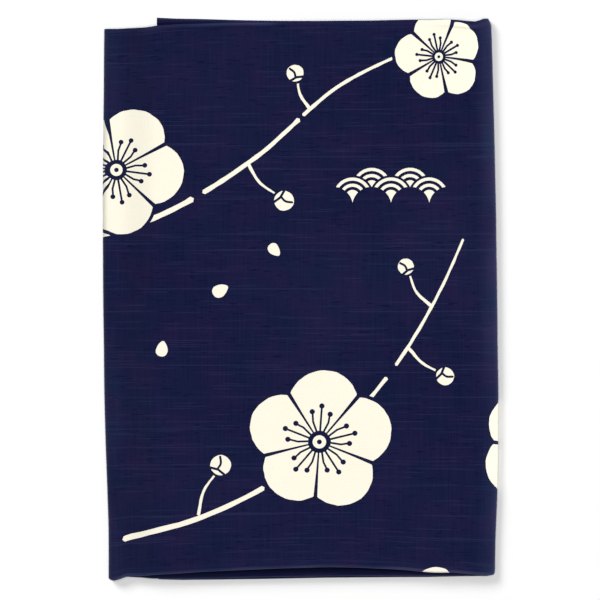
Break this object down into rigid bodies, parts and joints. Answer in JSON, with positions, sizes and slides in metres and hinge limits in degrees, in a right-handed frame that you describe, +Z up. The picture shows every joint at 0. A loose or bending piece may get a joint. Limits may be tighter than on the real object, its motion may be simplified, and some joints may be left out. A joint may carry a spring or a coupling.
{
  "type": "furoshiki",
  "caption": "Square wrapping cloth of navy slub cotton with a pale plant and wave print, folded in half and then in three, lying flat.",
  "frame": {"origin": "middle of the folded pack's underside, at the bottom centre of its box", "axes": "+Z up out of the front panel; +Y along the pack, from its folded edge to its open edges; +X from the tight fold to the round fold"},
  "size_m": [0.1764, 0.2513, 0.0093],
  "materials": {
    "cotton": "matte navy plain-weave slub cotton with a cream print of flowers, branches and waves"
  },
  "bodies": {
    "root": {"furoshiki": "cotton"}
  },
  "joints": []
}
